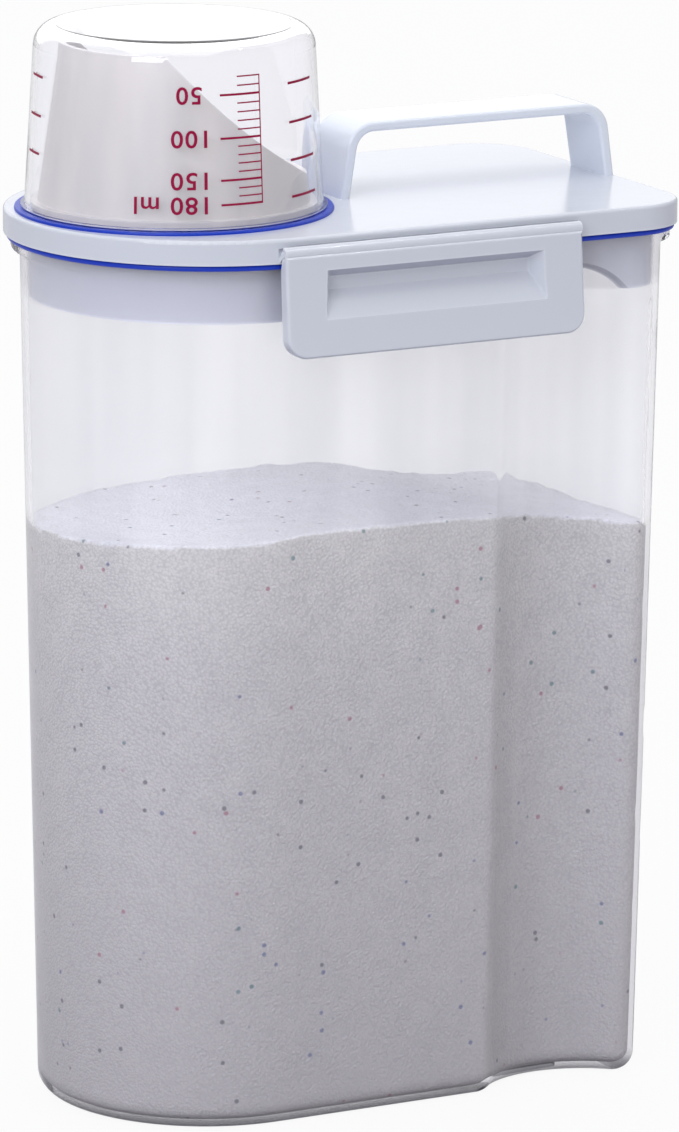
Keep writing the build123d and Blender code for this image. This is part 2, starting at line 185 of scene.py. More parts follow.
class PowderLook(bpy.types.PropertyGroup):
    """The washing powder."""
    # Painted light: the top is given a paler colour than the sides behind the wall, for the light that falls
    # on it. The deep tone makes the powder darker towards the base.
    tone: colour("Tone", "Colour of the granules that lie packed against the wall", 198, 196, 196)
    deep_tone: colour("Deep tone", "The same at the base, where they are packed hardest", 171, 168, 169)
    top_tone: colour("Top tone", "Colour of the loose granules on top", 240, 240, 245)
    shadow_tone: colour("Shadow tone", "Colour between the granules", 158, 156, 160)
    packed: length("Packed depth", "Height over which the deep tone fades", 130)
    roughness: share("Roughness", "How soft its reflections are", 0.85)
    gloss: share("Gloss", "How much of a reflection it has", 0.2)
    grain_depth: length("Grain depth", "How deep the seams between the granules are", 0.18)
    speck_cell: length("Speck spacing", "Width of the space in which there's one coloured speck at most", 3.6)
    speck_radius: share("Speck radius", "Radius of a speck, as a share of that width", 0.22)
    specks: share("Specks", "Share of those spaces that have a speck", 0.2)
    speck_strength: share("Speck strength", "How far a speck hides the powder's colour", 0.75)
    grain: length("Grain", "Size of a granule", 0.8)
    clump: length("Clump", "Size of the soft patches", 8.0)
    skin: length("Skin", "Spacing of the points on the surface", 1.3)
    press: length("Press", "How far it fills the clear wall, so that no air shows between them", 0.45)
    heap: length("Heaps", "Height of the broad unevenness on top", 1.3)
    heap_width: length("Heap width", "Width of the broad unevenness", 42)
    pit: length("Pits", "Height of the fine unevenness on top", 0.5)
    pit_width: length("Pit width", "Width of the fine unevenness", 7)
    crumb: share("Crumb", "Height of the finest unevenness, as a share of the pits", 0.5)
    crumb_scale: plain("Crumb scale", "How many times narrower than the pits it is", 2.3)
    settled: length("Settled depth", "Depth below the top at which nothing is uneven", 12)


class WhiteLook(bpy.types.PropertyGroup):
    """The glossy white mouldings."""
    tone: colour("Tone", "The plastic's colour", 219, 223, 232)
    # Painted light: the handle is the lid's plastic, given this paler colour so that it shows brighter.
    handle_tone: colour("Handle tone", "The same in the thin strap handle", 236, 242, 251)
    # Painted highlight: thin edges are given this paler colour for the light that glances off them and comes
    # through them.
    edge_tone: colour("Edge tone", "Colour along thin edges, where light comes through", 240, 243, 250)
    # Painted shade: what faces down is given this darker colour, for the shade it sits in.
    under_tone: colour("Under tone", "Colour of what faces down, dulled by dust and handling", 168, 171, 186)
    roughness: share("Roughness", "How soft its reflections are", 0.17)
    ripple: length("Ripple", "Width of the faint waves in the skin", 9)
    ripple_depth: length("Ripple depth", "Depth of the faint waves in the skin", 0.06)
    patchiness: share("Patchiness", "How far its shine varies from place to place", 0.05)
    mottle_tone: colour("Mottle tone", "Colour of its faint mottling", 214, 220, 234)
    mottling: share("Mottling", "Strength of the mottling", 0.05)
    edge: length("Edge", "Width of the pale band along an edge", 1.3)
    edge_breaks: share("Edge breaks", "How far that band is broken up", 0.25)
    edge_strength: share("Edge strength", "How strong that band is", 0.9)
    dust: share("Dust", "How much fine dust is on it", 0.05)
    mote: length("Mote", "Size of the dust's motes", 1.1)
    dust_tone: colour("Dust tone", "The dust's colour", 205, 205, 208)


class SealLook(bpy.types.PropertyGroup):
    """The blue silicone seals."""
    gasket_tone: colour("Gasket tone", "The seal under the lid", 6, 58, 200)
    ring_tone: colour("Ring tone", "The seal under the cup", 2, 58, 196)
    lip: length("Lip", "Height of the seal's lip between the rim and the lid", 1.7)
    squeeze: length("Squeeze", "How far the closed lid squeezes the lip out", 1.5)
    root: length("Root", "How far inside the seal's edge the lip starts", 0.1)
    lip_gap: length("Lip gap", "Gap between the container's rim and the lip", 0.05)
    roughness: share("Roughness", "How soft its reflections are", 0.36)
    ripple: length("Ripple", "Width of the faint waves in the skin", 4)
    ripple_depth: length("Ripple depth", "Depth of the faint waves in the skin", 0.04)
    patchiness: share("Patchiness", "How far its shine varies from place to place", 0.08)
    mottle_tone: colour("Mottle tone", "Colour of its faint mottling", 10, 40, 140)
    mottling: share("Mottling", "Strength of the mottling", 0.12)
    dust: share("Dust", "How much fine dust is on it", 0.04)
    mote: length("Mote", "Size of the dust's motes", 0.8)
    dust_tone: colour("Dust tone", "The dust's colour", 150, 160, 190)


class SpoutLook(bpy.types.PropertyGroup):
    """The pale spout."""
    tone: colour("Tone", "The plastic's colour", 212, 207, 203)
    band_tone: colour("Band tone", "The same in its faint upright bands", 188, 186, 187)
    band: length("Bands", "Spacing of the faint upright bands", 9)
    band_drift: share("Band drift", "How far the bands vary upwards, as a share of across", 0.03)
    band_strength: share("Band strength", "How strong the bands are", 0.4)
    roughness: share("Roughness", "How soft its reflections are", 0.32)
    ripple: length("Ripple", "Width of the faint waves in the skin", 11)
    ripple_depth: length("Ripple depth", "Depth of the faint waves in the skin", 0.03)
    patchiness: share("Patchiness", "How far its shine varies from place to place", 0.06)
    mottle_tone: colour("Mottle tone", "Colour of its faint mottling", 206, 206, 208)
    mottling: share("Mottling", "Strength of the mottling", 0.12)
    # Painted highlight: thin edges are given this paler colour for the light that glances off them.
    edge_tone: colour("Edge tone", "Colour along its thin edges", 242, 242, 243)
    edge: length("Edge", "Width of the pale band along an edge", 0.8)
    edge_breaks: share("Edge breaks", "How far that band is broken up", 0.2)
    edge_strength: share("Edge strength", "How strong that band is", 0.5)


class CupLook(bpy.types.PropertyGroup):
    """The clear measuring cup and its printed scale."""
    tint: colour("Tint", "What the wall does to light that passes", 252, 252, 255)
    roughness: share("Roughness", "How much the wall blurs", 0.01)
    ripple: length("Ripple", "Width of the faint waves in the skin", 20)
    ripple_depth: length("Ripple depth", "Depth of the faint waves in the skin", 0.04)
    patchiness: share("Patchiness", "How far its blur varies from place to place", 0.015)
    dust: share("Dust", "How much fine dust is on it", 0.03)
    mote: length("Mote", "Size of the dust's motes", 1.2)
    dust_tone: colour("Dust tone", "The dust's colour", 228, 228, 232)
    index: plain("Index", "How strongly it bends light", 1.5)
    mouth_radius: length("Mouth radius", "Outside radius of the wall at the mouth", 40.4)
    base_radius: length("Base radius", "Outside radius of the wall at the base", 37.6)
    wall: length("Wall", "Thickness of the wall and the base", 1.5)
    inside_round: length("Inside round", "Radius between the base and the wall, inside", 4.5)
    ink: colour("Ink", "Colour of the print", 158, 0, 62)
    thin_ink: colour("Thin ink", "Colour of the print where it is thinner", 190, 60, 110)
    thinning: share("Thinning", "How far the print thins", 0.25)
    ink_grain: length("Ink grain", "Spacing of its thinner places", 1.11111)
    ink_roughness: share("Ink roughness", "How soft its reflections are", 0.4)
    ink_gloss: share("Ink gloss", "How much of a reflection it has", 0.2)
    ink_lift: length("Ink lift", "How far the print stands off the wall", 0.04)
    bold: length("Bold line", "Thickness of the numbered lines", 0.6)
    fine: length("Fine line", "Thickness of the other lines", 0.38)
    side: length("Side line", "Thickness of the marks on both sides", 0.7)
    long_tick: length("Long tick", "Length of the numbered lines", 12.4)
    short_tick: length("Short tick", "Length of the other lines", 7.2)
    digits: length("Digits", "Height of the numbers", 4.6)
    digit_stretch: plain("Digit stretch", "How much wider the numbers are than the font's", 1.1)
    digit_space: plain("Digit space", "How much wider apart they are than the font's", 1.1)
    digit_weight: share("Digit weight", "How much bolder they are than the font's", 0.014)
    scale_turn: turn("Scale turn", "The upright line, from the camera's side towards the handle", 37.0)
    number_turn: turn("Number turn", "The numbers' middle", 7.0)
    left_turn: turn("Left marks", "The middle of the marks on the left", -71.0)
    right_turn: turn("Right marks", "The middle of the marks on the right", 62.0)
    left_mark: length("Left mark", "Length of the marks on the left", 9.0)
    right_mark: length("Right mark", "Length of the marks on the right", 13.0)


class DispenserLook(bpy.types.PropertyGroup):
    """All that a user can change."""
    stage: PointerProperty(type=StageLook)
    tub: PointerProperty(type=TubLook)
    powder: PointerProperty(type=PowderLook)
    white: PointerProperty(type=WhiteLook)
    seals: PointerProperty(type=SealLook)
    spout: PointerProperty(type=SpoutLook)
    cup: PointerProperty(type=CupLook)


class Wiring:
    """Adds nodes to one node tree and joins them."""

    def __init__(self, tree):
        self.tree = tree

    def feed(self, socket, value):
        """Joins a socket to another, or sets it."""
        if isinstance(value, bpy.types.NodeSocket):
            self.tree.links.new(value, socket)
        elif hasattr(value, "__len__") and len(value) == 3 and socket.type == "RGBA":
            socket.default_value = (*value, 1.0)
        else:
            socket.default_value = value

    def add(self, kind, inputs=None, **settings):
        """A new node with its settings and inputs."""
        node = self.tree.nodes.new(kind)
        for name, value in settings.items():
            setattr(node, name, value)
        for name, value in (inputs or {}).items():
            self.feed(node.inputs[name], value)
        return node

    def calc(self, operation, first, second=0.0, clamp=False):
        """One sum on two values."""
        node = self.add("ShaderNodeMath", {0: first, 1: second}, operation=operation, use_clamp=clamp)
        return node.outputs[0]

    def spread(self, value, low, high, to_low=0.0, to_high=1.0):
        """A value carried from one range to another, held at the ends."""
        inputs = {"Value": value, "From Min": low, "From Max": high, "To Min": to_low, "To Max": to_high}
        return self.add("ShaderNodeMapRange", inputs).outputs["Result"]

    def mixed(self, factor, first, second):
        """Two colours mixed."""
        node = self.add("ShaderNodeMix", data_type="RGBA")
        for socket, value in zip((node.inputs[0], node.inputs[6], node.inputs[7]), (factor, first, second)):
            self.feed(socket, value)
        return node.outputs[2]

    def speckle(self, place, scale, detail=2.0):
        """Smooth noise from 0 to 1."""
        inputs = {"Vector": place, "Scale": scale, "Detail": detail}
        return self.add("ShaderNodeTexNoise", inputs).outputs["Fac"]

    def place(self):
        """Where a point is on the piece, in metres."""
        return self.add("ShaderNodeTexCoord").outputs["Object"]

    def upward(self):
        """How far a point faces up on the piece at rest, from -1 to 1."""
        normal = self.add("ShaderNodeTexCoord").outputs["Normal"]
        return self.add("ShaderNodeSeparateXYZ", {0: normal}).outputs["Z"]

    def bump(self, height, depth):
        """A normal bent by a height from 0 to 1, times a depth."""
        inputs = {"Height": height, "Distance": depth, "Strength": 1.0}
        return self.add("ShaderNodeBump", inputs).outputs["Normal"]

    def effect(self, name, inputs=None):
        """One of the shared effects, with this material's own values."""
        return self.add("ShaderNodeGroup", inputs, node_tree=bpy.data.node_groups[name]).outputs

    def skin(self, look):
        """The shared skin effect, as a look asks for it."""
        return self.effect("Moulded skin", {
            "Ripple": look.ripple, "Roughness": look.roughness, "Patchiness": look.patchiness})

    def dust(self, look):
        """The mask of the shared dust effect, as a look asks for it."""
        return self.effect("Fine dust", {"Amount": look.dust, "Mote": look.mote})["Mask"]


# About how many patches break up the painted edge highlight, and how many drifts of dust, there are to a
# metre.
EDGE_BREAK_SCALE = 160.0
DRIFT_SCALE = 22.0


def new_effect(name, inputs, outputs):
    """An empty shared effect with named sockets; gives its wiring, its inputs and its end."""
    tree = bpy.data.node_groups.new(name, "ShaderNodeTree")
    for label, default in inputs.items():
        socket = tree.interface.new_socket(label, in_out="INPUT", socket_type="NodeSocketFloat")
        socket.default_value = default
    for label in outputs:
        tree.interface.new_socket(label, in_out="OUTPUT", socket_type="NodeSocketFloat")
    wiring = Wiring(tree)
    start = wiring.add("NodeGroupInput")
    end = wiring.add("NodeGroupOutput")
    return wiring, start.outputs, end.inputs


def make_skin_effect():
    """The skin of a moulding: faint waves in it, patches of shine and a little mottling."""
    wiring, given, end = new_effect(
        "Moulded skin", {"Ripple": 0.009, "Roughness": 0.2, "Patchiness": 0.04},
        ("Mottling", "Roughness", "Height"))
    place = wiring.place()
    scale = wiring.calc("DIVIDE", 1.0, given["Ripple"])
    patch_scale = wiring.calc("MULTIPLY", scale, 0.35)
    pore_scale = wiring.calc("MULTIPLY", scale, 14.0)
    waves = wiring.speckle(place, scale, 1.0)
    patches = wiring.speckle(place, patch_scale, 3.0)
    pores = wiring.speckle(place, pore_scale, 1.0)
    offset = wiring.calc("MULTIPLY", wiring.calc("SUBTRACT", patches, 0.5), given["Patchiness"])
    pores_height = wiring.calc("MULTIPLY", pores, 0.04)
    wiring.feed(end["Mottling"], wiring.spread(patches, 0.3, 0.7))
    wiring.feed(end["Roughness"], wiring.calc("ADD", given["Roughness"], offset, clamp=True))
    wiring.feed(end["Height"], wiring.calc("ADD", waves, pores_height))


def make_edge_effect():
    """A mask along sharp and rounded edges, where a highlight is painted, broken up in patches."""
    wiring, given, end = new_effect("Painted edge highlight", {"Width": 0.0009, "Breaks": 0.3}, ("Mask",))
    rounded = wiring.add("ShaderNodeBevel", {"Radius": given["Width"]}, samples=3)
    straight = wiring.add("ShaderNodeNewGeometry").outputs["Normal"]
    dot = wiring.add("ShaderNodeVectorMath", {0: rounded.outputs[0], 1: straight}, operation="DOT_PRODUCT")
    flat, sharp = 0.995, 0.8
    edge = wiring.spread(dot.outputs["Value"], flat, sharp)
    edge_breakup = wiring.speckle(wiring.place(), EDGE_BREAK_SCALE, 3.0)
    breaks = wiring.calc("MULTIPLY", edge_breakup, given["Breaks"])
    wiring.feed(end["Mask"], wiring.calc("SUBTRACT", edge, breaks, clamp=True))


def make_dust_effect():
    """A mask of fine dust, more of it on what faces up."""
    wiring, given, end = new_effect("Fine dust", {"Amount": 0.2, "Mote": 0.0012}, ("Mask",))
    place = wiring.place()
    lying = wiring.spread(wiring.upward(), -0.2, 1.0, 0.15, 1.0)
    drift = wiring.spread(wiring.speckle(place, DRIFT_SCALE, 4.0), 0.42, 0.7)
    mote_scale = wiring.calc("DIVIDE", 1.0, given["Mote"])
    motes = wiring.spread(wiring.speckle(place, mote_scale, 1.0), 0.55, 0.75)
    film = wiring.calc("MULTIPLY", wiring.calc("ADD", drift, motes), lying)
    wiring.feed(end["Mask"], wiring.calc("MULTIPLY", film, given["Amount"], clamp=True))


def make_speck_effect():
    """A mask of single round specks, each in its own cell, where only some cells have one. Each speck
    has its own Kind from 0 to 1."""
    wiring, given, end = new_effect(
        "Scattered specks", {"Cell": 0.0036, "Radius": 0.19, "Share": 0.17}, ("Mask", "Kind"))
    scale = wiring.calc("DIVIDE", 1.0, given["Cell"])
    cells = wiring.add("ShaderNodeTexVoronoi", {"Vector": wiring.place(), "Scale": scale})
    chances = wiring.add("ShaderNodeSeparateColor", {0: cells.outputs["Color"]}).outputs
    chosen = wiring.calc("LESS_THAN", chances[0], given["Share"])
    solid = wiring.calc("MULTIPLY", given["Radius"], 0.6)
    dot = wiring.spread(cells.outputs["Distance"], given["Radius"], solid)
    wiring.feed(end["Mask"], wiring.calc("MULTIPLY", dot, chosen))
    wiring.feed(end["Kind"], chances[1])


def make_band_effect():
    """A mask of soft upright bands, as molten plastic leaves them where it flows up a wall."""
    wiring, given, end = new_effect("Flow bands", {"Spacing": 0.016, "Drift": 0.05}, ("Mask",))
    stretch = wiring.add("ShaderNodeCombineXYZ", {"X": 1.0, "Y": 1.0, "Z": given["Drift"]})
    place = wiring.add(
        "ShaderNodeVectorMath", {0: wiring.place(), 1: stretch.outputs[0]}, operation="MULTIPLY")
    scale = wiring.calc("DIVIDE", 1.0, given["Spacing"])
    wiring.feed(end["Mask"], wiring.spread(wiring.speckle(place.outputs[0], scale, 2.0), 0.35, 0.65))


def new_material(name):
    """An empty material; gives it and its wiring."""
    material = bpy.data.materials.new(name)
    material.use_nodes = True
    material.node_tree.nodes.clear()
    return material, Wiring(material.node_tree)


def close_material(wiring, surface):
    """Joins a shader to the material's output."""
    wiring.add("ShaderNodeOutputMaterial", {"Surface": surface})


def dress(node, material):
    """Gives a CAD node its material."""
    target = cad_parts[node]
    target.data.materials.clear()
    target.data.materials.append(material)


def let_lamps_through(wiring, glass, passed):
    """Glass that lamps shine through, so that what it holds is lit."""
    path = wiring.add("ShaderNodeLightPath").outputs
    film = wiring.add("ShaderNodeBsdfTransparent", {"Color": passed})
    inputs = {0: path["Is Shadow Ray"], 1: glass.outputs[0], 2: film.outputs[0]}
    return wiring.add("ShaderNodeMixShader", inputs).outputs[0]


def make_tub_material(look):
    """Clear plastic with a breath of haze and faint flow marks, painted shade beside the lid's plug and a
    painted shadow along the foot.
    """
    material, wiring = new_material("clear_tub")
    skin = wiring.skin(look)
    bands = wiring.effect("Flow bands", {"Spacing": look.band, "Drift": look.band_drift})
    banded = wiring.mixed(bands["Mask"], look.tint, look.band_tint)
    height = wiring.add("ShaderNodeSeparateXYZ", {0: wiring.place()}).outputs["Z"]
    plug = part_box("lid")[0].z
    # Painted shade beside the lid's plug.
    rimmed = wiring.mixed(wiring.spread(height, plug, plug + look.rim_fade), banded, look.rim_tint)
    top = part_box("washing_powder")[1].z
    filled = wiring.mixed(wiring.spread(height, top - look.fill_fade, top), look.fill_tint, rimmed)
    # Painted contact shadow along the foot.
    footed = wiring.mixed(wiring.spread(height, look.foot_low, look.foot), look.foot_tint, filled)
    tint = wiring.mixed(wiring.dust(look), footed, look.dust_tone)
    glass = wiring.add("ShaderNodeBsdfPrincipled", {
        "Base Color": tint, "Roughness": skin["Roughness"], "IOR": look.index,
        "Transmission Weight": look.body, "Coat Weight": look.sheen, "Coat Roughness": look.sheen_roughness,
        "Normal": wiring.bump(skin["Height"], look.ripple_depth)})
    close_material(wiring, let_lamps_through(wiring, glass, TUB_PASSES))
    return material


# The colour of most specks, and the kinds from 0 to 1 at which other colours start.
SPECK_GREY = (74, 72, 86)
SPECK_TINTS = ((0.4, (76, 88, 132)), (0.64, (72, 110, 116)), (0.86, (150, 90, 110)))


def make_powder_material(look):
    """Fine granules with soft patches, sparse coloured specks and a top painted paler for the light that
    falls on it.
    """
    material, wiring = new_material("washing_powder")
    place = wiring.place()
    grains = wiring.add("ShaderNodeTexVoronoi", {"Vector": place, "Scale": 1 / look.grain})
    seams = wiring.spread(grains.outputs["Distance"], 0.2, 0.8)
    patches = wiring.spread(wiring.speckle(place, 1 / look.clump, 5.0), 0.35, 0.65)
    depth = wiring.calc("ADD", wiring.calc("MULTIPLY", seams, 0.5), wiring.calc("MULTIPLY", patches, 0.15))
    height = wiring.add("ShaderNodeSeparateXYZ", {0: place}).outputs["Z"]
    packed = wiring.mixed(wiring.spread(height, 0.0, look.packed), look.deep_tone, look.tone)
    # Painted light: faces that look up turn to the paler top colour.
    lying = wiring.spread(wiring.upward(), 0.3, 0.8)
    seen_depth = wiring.calc("MULTIPLY", depth, wiring.spread(lying, 0.0, 1.0, 1.0, 0.5))
    tone = wiring.mixed(seen_depth, wiring.mixed(lying, packed, look.top_tone), look.shadow_tone)
    specks = wiring.effect(
        "Scattered specks", {"Cell": look.speck_cell, "Radius": look.speck_radius, "Share": look.specks})
    tint = shade(*SPECK_GREY)
    for least, screen in SPECK_TINTS:
        tint = wiring.mixed(wiring.calc("GREATER_THAN", specks["Kind"], least), tint, shade(*screen))
    tone = wiring.mixed(wiring.calc("MULTIPLY", specks["Mask"], look.speck_strength), tone, tint)
    hollow = wiring.calc("ADD", wiring.calc("MULTIPLY", patches, 0.6), seams)
    surface = wiring.add("ShaderNodeBsdfPrincipled", {
        "Base Color": tone, "Roughness": look.roughness, "Specular IOR Level": look.gloss,
        "Normal": wiring.bump(wiring.calc("SUBTRACT", 1.0, hollow), look.grain_depth)})
    close_material(wiring, surface.outputs[0])
    return material


def make_white_material(name, tone, under_tone, look):
    """Glossy white plastic, with a painted highlight along its thin edges and painted shade on what faces
    down.
    """
    material, wiring = new_material(name)
    skin = wiring.skin(look)
    # Painted highlight along the thin edges.
    edge = wiring.effect("Painted edge highlight", {"Width": look.edge, "Breaks": look.edge_breaks})["Mask"]
    # Painted shade: faces that look down turn to the darker under colour.
    toned = wiring.mixed(wiring.spread(wiring.upward(), -0.1, -0.6), tone, under_tone)
    mottled = wiring.mixed(wiring.calc("MULTIPLY", skin["Mottling"], look.mottling), toned, look.mottle_tone)
    edged = wiring.mixed(wiring.calc("MULTIPLY", edge, look.edge_strength), mottled, look.edge_tone)
    surface = wiring.add("ShaderNodeBsdfPrincipled", {
        "Base Color": wiring.mixed(wiring.dust(look), edged, look.dust_tone),
        "Roughness": skin["Roughness"], "IOR": POLYPROPYLENE_INDEX,
        "Normal": wiring.bump(skin["Height"], look.ripple_depth)})
    close_material(wiring, surface.outputs[0])
    return material


def make_seal_material(name, tone, look):
    """Soft silicone with a little dust on it."""
    material, wiring = new_material(name)
    skin = wiring.skin(look)
    mottled = wiring.mixed(wiring.calc("MULTIPLY", skin["Mottling"], look.mottling), tone, look.mottle_tone)
    surface = wiring.add("ShaderNodeBsdfPrincipled", {
        "Base Color": wiring.mixed(wiring.dust(look), mottled, look.dust_tone),
        "Roughness": skin["Roughness"], "IOR": SILICONE_INDEX,
        "Normal": wiring.bump(skin["Height"], look.ripple_depth)})
    close_material(wiring, surface.outputs[0])
    return material


LIP_STEPS = 8
SAME_LEVEL = 0.1 * MM


def seal_outline():
    """The seal's outer edge from above, as points in order round it."""
    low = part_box("lid_gasket")[0].z
    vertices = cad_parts["lid_gasket"].data.vertices
    foot = [vertex.co.xy for vertex in vertices if vertex.co.z < low + SAME_LEVEL]
    return [foot[i] for i in geometry.convex_hull_2d(foot)]


def lip_ring(corner, out, low, look):
    """The lip's section at one place, from its root below round its face to its root above."""
    ring = []
    for step in range(LIP_STEPS + 1):
        angle = math.pi * step / LIP_STEPS
        place = corner + out * (look.squeeze * math.sqrt(abs(math.sin(angle))) - look.root)
        ring.append((*place, low + look.lip * (1 - math.cos(angle)) / 2))
    return ring


def make_seal_lip(look, material):
    """The seal's soft lip, squeezed out between the container's rim and the lid."""
    outline = seal_outline()
    count = len(outline)
    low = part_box("container")[1].z + look.lip_gap
    points, faces = [], []
    for i, corner in enumerate(outline):
        along = (outline[(i + 1) % count] - outline[i - 1]).normalized()
        out = Vector((along.y, -along.x))
        if out.dot(corner) < 0:
            out.negate()
        points += lip_ring(corner, out, low, look)
    around = LIP_STEPS + 1
    for i in range(count):
        here, after = i * around, (i + 1) % count * around
        for step in range(around):
            further = (step + 1) % around
            faces.append((here + step, after + step, after + further, here + further))
    mesh = bpy.data.meshes.new("seal_lip")
    mesh.from_pydata(points, [], faces)
    mesh.polygons.foreach_set("use_smooth", [True] * len(mesh.polygons))
    piece = new_piece("seal_lip", mesh, material)
    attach(piece, "body")


def make_spout_material(look):
    """Satin pale plastic with faint upright flow bands and a painted highlight along its thin edges."""
    material, wiring = new_material("pale_spout")
    skin = wiring.skin(look)
    # Painted highlight along the thin edges.
    edge = wiring.effect("Painted edge highlight", {"Width": look.edge, "Breaks": look.edge_breaks})["Mask"]
    bands = wiring.effect("Flow bands", {"Spacing": look.band, "Drift": look.band_drift})["Mask"]
    banded = wiring.mixed(wiring.calc("MULTIPLY", bands, look.band_strength), look.tone, look.band_tone)
    mottled = wiring.mixed(wiring.calc("MULTIPLY", skin["Mottling"], look.mottling), banded, look.mottle_tone)
    edged = wiring.mixed(wiring.calc("MULTIPLY", edge, look.edge_strength), mottled, look.edge_tone)
    surface = wiring.add("ShaderNodeBsdfPrincipled", {
        "Base Color": edged, "Roughness": skin["Roughness"], "IOR": POLYPROPYLENE_INDEX,
        "Normal": wiring.bump(skin["Height"], look.ripple_depth)})
    close_material(wiring, surface.outputs[0])
    return material


def make_cup_material(look):
    """Crystal clear plastic."""
    material, wiring = new_material("clear_cup")
    skin = wiring.skin(look)
    glass = wiring.add("ShaderNodeBsdfPrincipled", {
        "Base Color": wiring.mixed(wiring.dust(look), look.tint, look.dust_tone),
        "Roughness": skin["Roughness"], "IOR": look.index, "Transmission Weight": 1.0,
        "Normal": wiring.bump(skin["Height"], look.ripple_depth)})
    close_material(wiring, let_lamps_through(wiring, glass, CUP_PASSES))
    return material


def make_ink_material(look):
    """Printed ink, a little thinner in places."""
    material, wiring = new_material("cup_ink")
    thin = wiring.spread(wiring.speckle(wiring.place(), 1 / look.ink_grain), 0.5, 0.8, 0.0, look.thinning)
    surface = wiring.add("ShaderNodeBsdfPrincipled", {
        "Base Color": wiring.mixed(thin, look.ink, look.thin_ink), "Roughness": look.ink_roughness,
        "Specular IOR Level": look.ink_gloss})
    close_material(wiring, surface.outputs[0])
    return material


def new_piece(name, mesh, material):
    """A new object at the origin with one material."""
    piece = bpy.data.objects.new(name, mesh)
    bpy.context.scene.collection.objects.link(piece)
    mesh.materials.clear()
    mesh.materials.append(material)
    return piece


def settled_mesh(piece):
    """The piece's mesh with its modifiers worked into it."""
    bpy.context.view_layer.update()
    seen = piece.evaluated_get(bpy.context.evaluated_depsgraph_get())
    mesh = bpy.data.meshes.new_from_object(seen)
    piece.modifiers.clear()
    return mesh


def powder_rise(x, y, look):
    """How far the top is lifted at a place by heaps and pits."""
    broad = noise.noise(Vector((x, y, 0.0)) / look.heap_width)
    small = noise.noise(Vector((x, y, 1.0)) / look.pit_width)
    finer = noise.noise(Vector((x, y, 2.0)) * look.crumb_scale / look.pit_width)
    return look.heap * broad + look.pit * (small + look.crumb * finer)


def make_powder(look):
    """The powder, closely meshed, with an uneven top, in the space of its plain solid."""
    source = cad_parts["washing_powder"]
    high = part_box("washing_powder")[1]
    piece = new_piece("powder_fill", source.data.copy(), make_powder_material(look))
    piece.data.name = "powder_fill"
    even = piece.modifiers.new("even_skin", "REMESH")
    even.mode = "VOXEL"
    even.voxel_size = look.skin
    piece.data = settled_mesh(piece)
    still = high.z - 2 * look.settled
    outward = [Vector((v.normal.x, v.normal.y, min(v.normal.z, 0.0))) for v in piece.data.vertices]
    for vertex, out in zip(piece.data.vertices, outward):
        vertex.co += out * look.press
        reach = (vertex.co.z - still) / look.settled
        reach = min(max(reach, 0.0), 1.0)
        vertex.co.z += powder_rise(vertex.co.x, vertex.co.y, look) * reach * reach * (3 - 2 * reach)
    piece.data.polygons.foreach_set("use_smooth", [True] * len(piece.data.polygons))
    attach(piece, "body")
    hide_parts("washing_powder")


# How often the search for a dose's depth halves its range.
HALVINGS = 30


class CupWall:
    """The cup's outside wall, as a place to print on. Turns run from the camera's side to the handle."""

    def __init__(self, look, stage):
        low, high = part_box("measuring_cup")
        self.look = look
        self.axis = (low + high) / 2
        self.mouth_z = low.z
        self.base_z = high.z
        self.front = math.radians(-90) - stage.camera_azimuth

    def radius(self, z):
        """The outside radius at a height, print included."""
        along = (z - self.mouth_z) / (self.base_z - self.mouth_z)
        mouth = self.look.mouth_radius
        return mouth + (self.look.base_radius - mouth) * along + self.look.ink_lift

    def point(self, turned, z):
        """The place at a turn and a height."""
        angle = self.front + turned
        radius = self.radius(z)
        return (self.axis.x + radius * math.cos(angle), self.axis.y + radius * math.sin(angle), z)

    def arc(self, along):
        """The turn that a length takes round the wall."""
        return along / self.look.mouth_radius

    def height(self, millilitres):
        """The height that a dose fills the cup to, when it stands on its base."""
        look = self.look
        inner_base = self.base_z - look.wall
        deepest = inner_base - self.mouth_z
        base_bore = look.base_radius - look.wall
        slope = (look.mouth_radius - look.base_radius) / deepest
        lost = (1 - math.pi / 4) * look.inside_round ** 2 * math.tau * base_bore
        shallow, deep = 0.0, deepest
        for _ in range(HALVINGS):
            depth = (shallow + deep) / 2
            top = base_bore + slope * depth
            held = math.pi * depth * (base_bore ** 2 + base_bore * top + top ** 2) / 3 - lost
            if held < millilitres * MILLILITRE:
                shallow = depth
            else:
                deep = depth
        return inner_base - depth


# How finely the print follows the wall, and the numbers their curves.
BAR_STEP = math.radians(2.5)
FONT_CURVE_STEPS = 4


def band(points, faces, wall, start, end, bottom, top):
    """A printed bar between two turns and two heights."""
    steps = max(2, math.ceil((end - start) / BAR_STEP))
    first = len(points)
    for i in range(steps + 1):
        turned = start + (end - start) * i / steps
        points += [wall.point(turned, bottom), wall.point(turned, top)]
    for i in range(steps):
        corner = first + 2 * i
        faces.append((corner, corner + 2, corner + 3, corner + 1))


def mark(points, faces, wall, millilitres, start, end, thickness):
    """A level line at a dose."""
    z = wall.height(millilitres)
    band(points, faces, wall, start, end, z - thickness / 2, z + thickness / 2)


# The scale, in millilitres.
FIRST_MARK, LAST_MARK, MARK_STEP = 30, 180, 10
NUMBERED = (50, 100, 150, 180)
SIDE_STEP = 45


